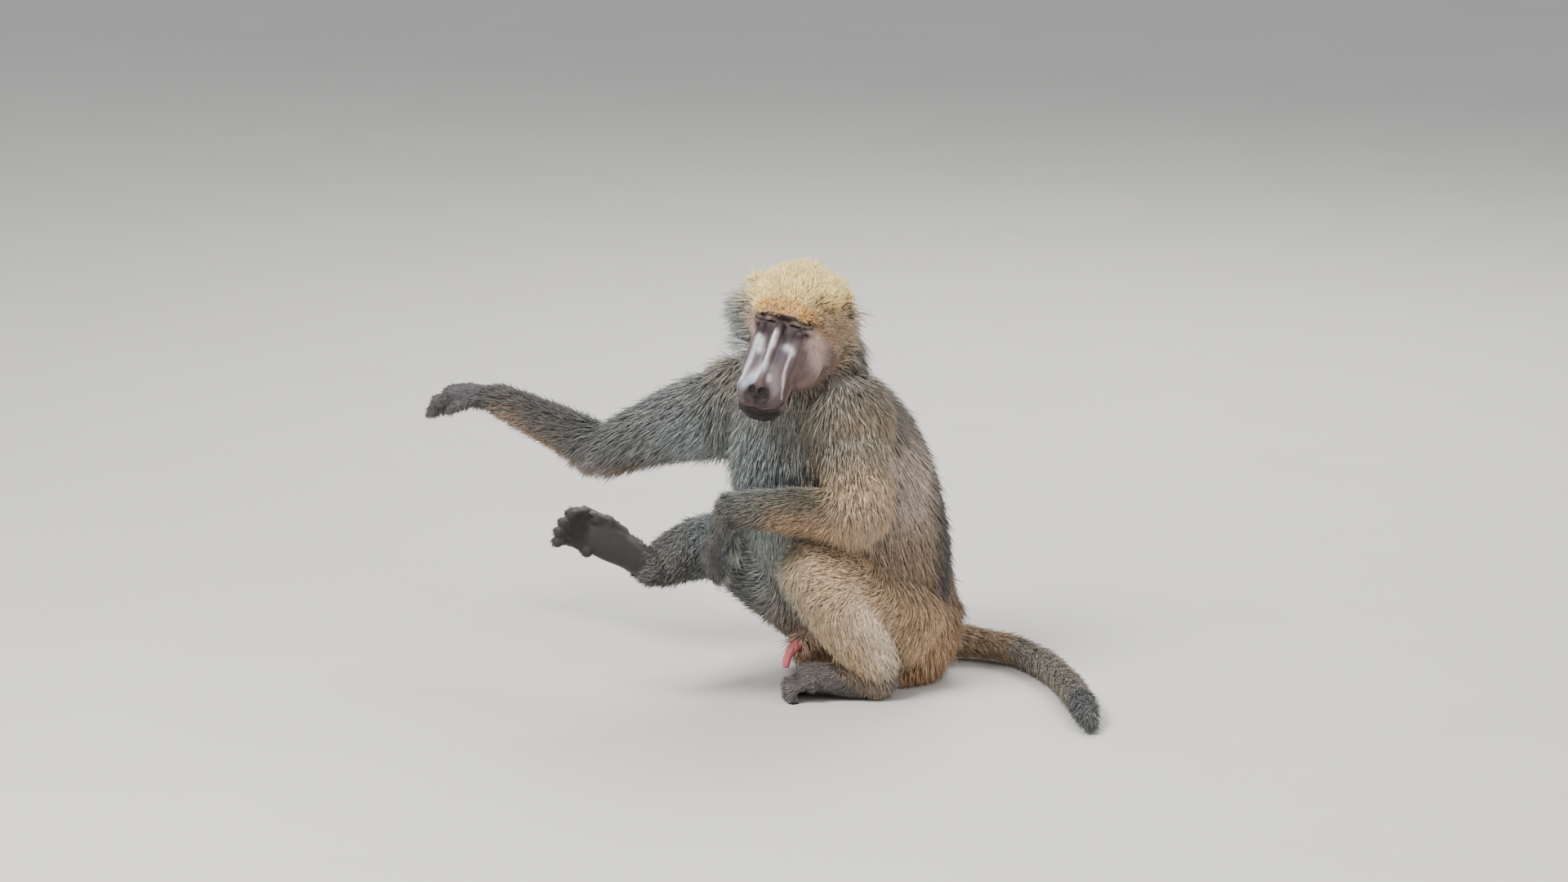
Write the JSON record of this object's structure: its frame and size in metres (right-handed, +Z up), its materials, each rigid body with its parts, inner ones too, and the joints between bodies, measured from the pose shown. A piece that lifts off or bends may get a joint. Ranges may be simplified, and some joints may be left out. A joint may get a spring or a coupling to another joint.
{
  "type": "baboon",
  "caption": "Life-size still model of an adult male baboon sitting on the floor, right arm and leg stretched out, left forearm over the raised knee, tail curved forward.",
  "frame": {"origin": "bottom centre of the whole model's box, on the floor it sits on", "axes": "+Z up; the viewer of the picture's side looks along +Y; +X to that viewer's right, where the tail lies"},
  "size_m": [1.1843, 0.7304, 0.7797],
  "materials": {
    "coat": "matte ticked fur",
    "mantle": "long matte fur",
    "skin": "satin bare skin and short hair",
    "eye": "glossy"
  },
  "bodies": {
    "root": {"torso": "coat", "thigh_left": "coat", "thigh_right": "coat", "shin_left": "coat", "shin_right": "coat", "forearm_left": "coat", "forearm_right": "coat", "tail_base": "coat", "tail_middle": "coat", "tail_tip": "coat", "neck": "mantle", "upper_arm_left": "mantle", "upper_arm_right": "mantle", "head": "skin", "ear_left": "skin", "ear_right": "skin", "hand_left": "skin", "hand_right": "skin", "foot_left": "skin", "foot_right": "skin", "eye_left": "eye", "eye_right": "eye"}
  },
  "joints": []
}
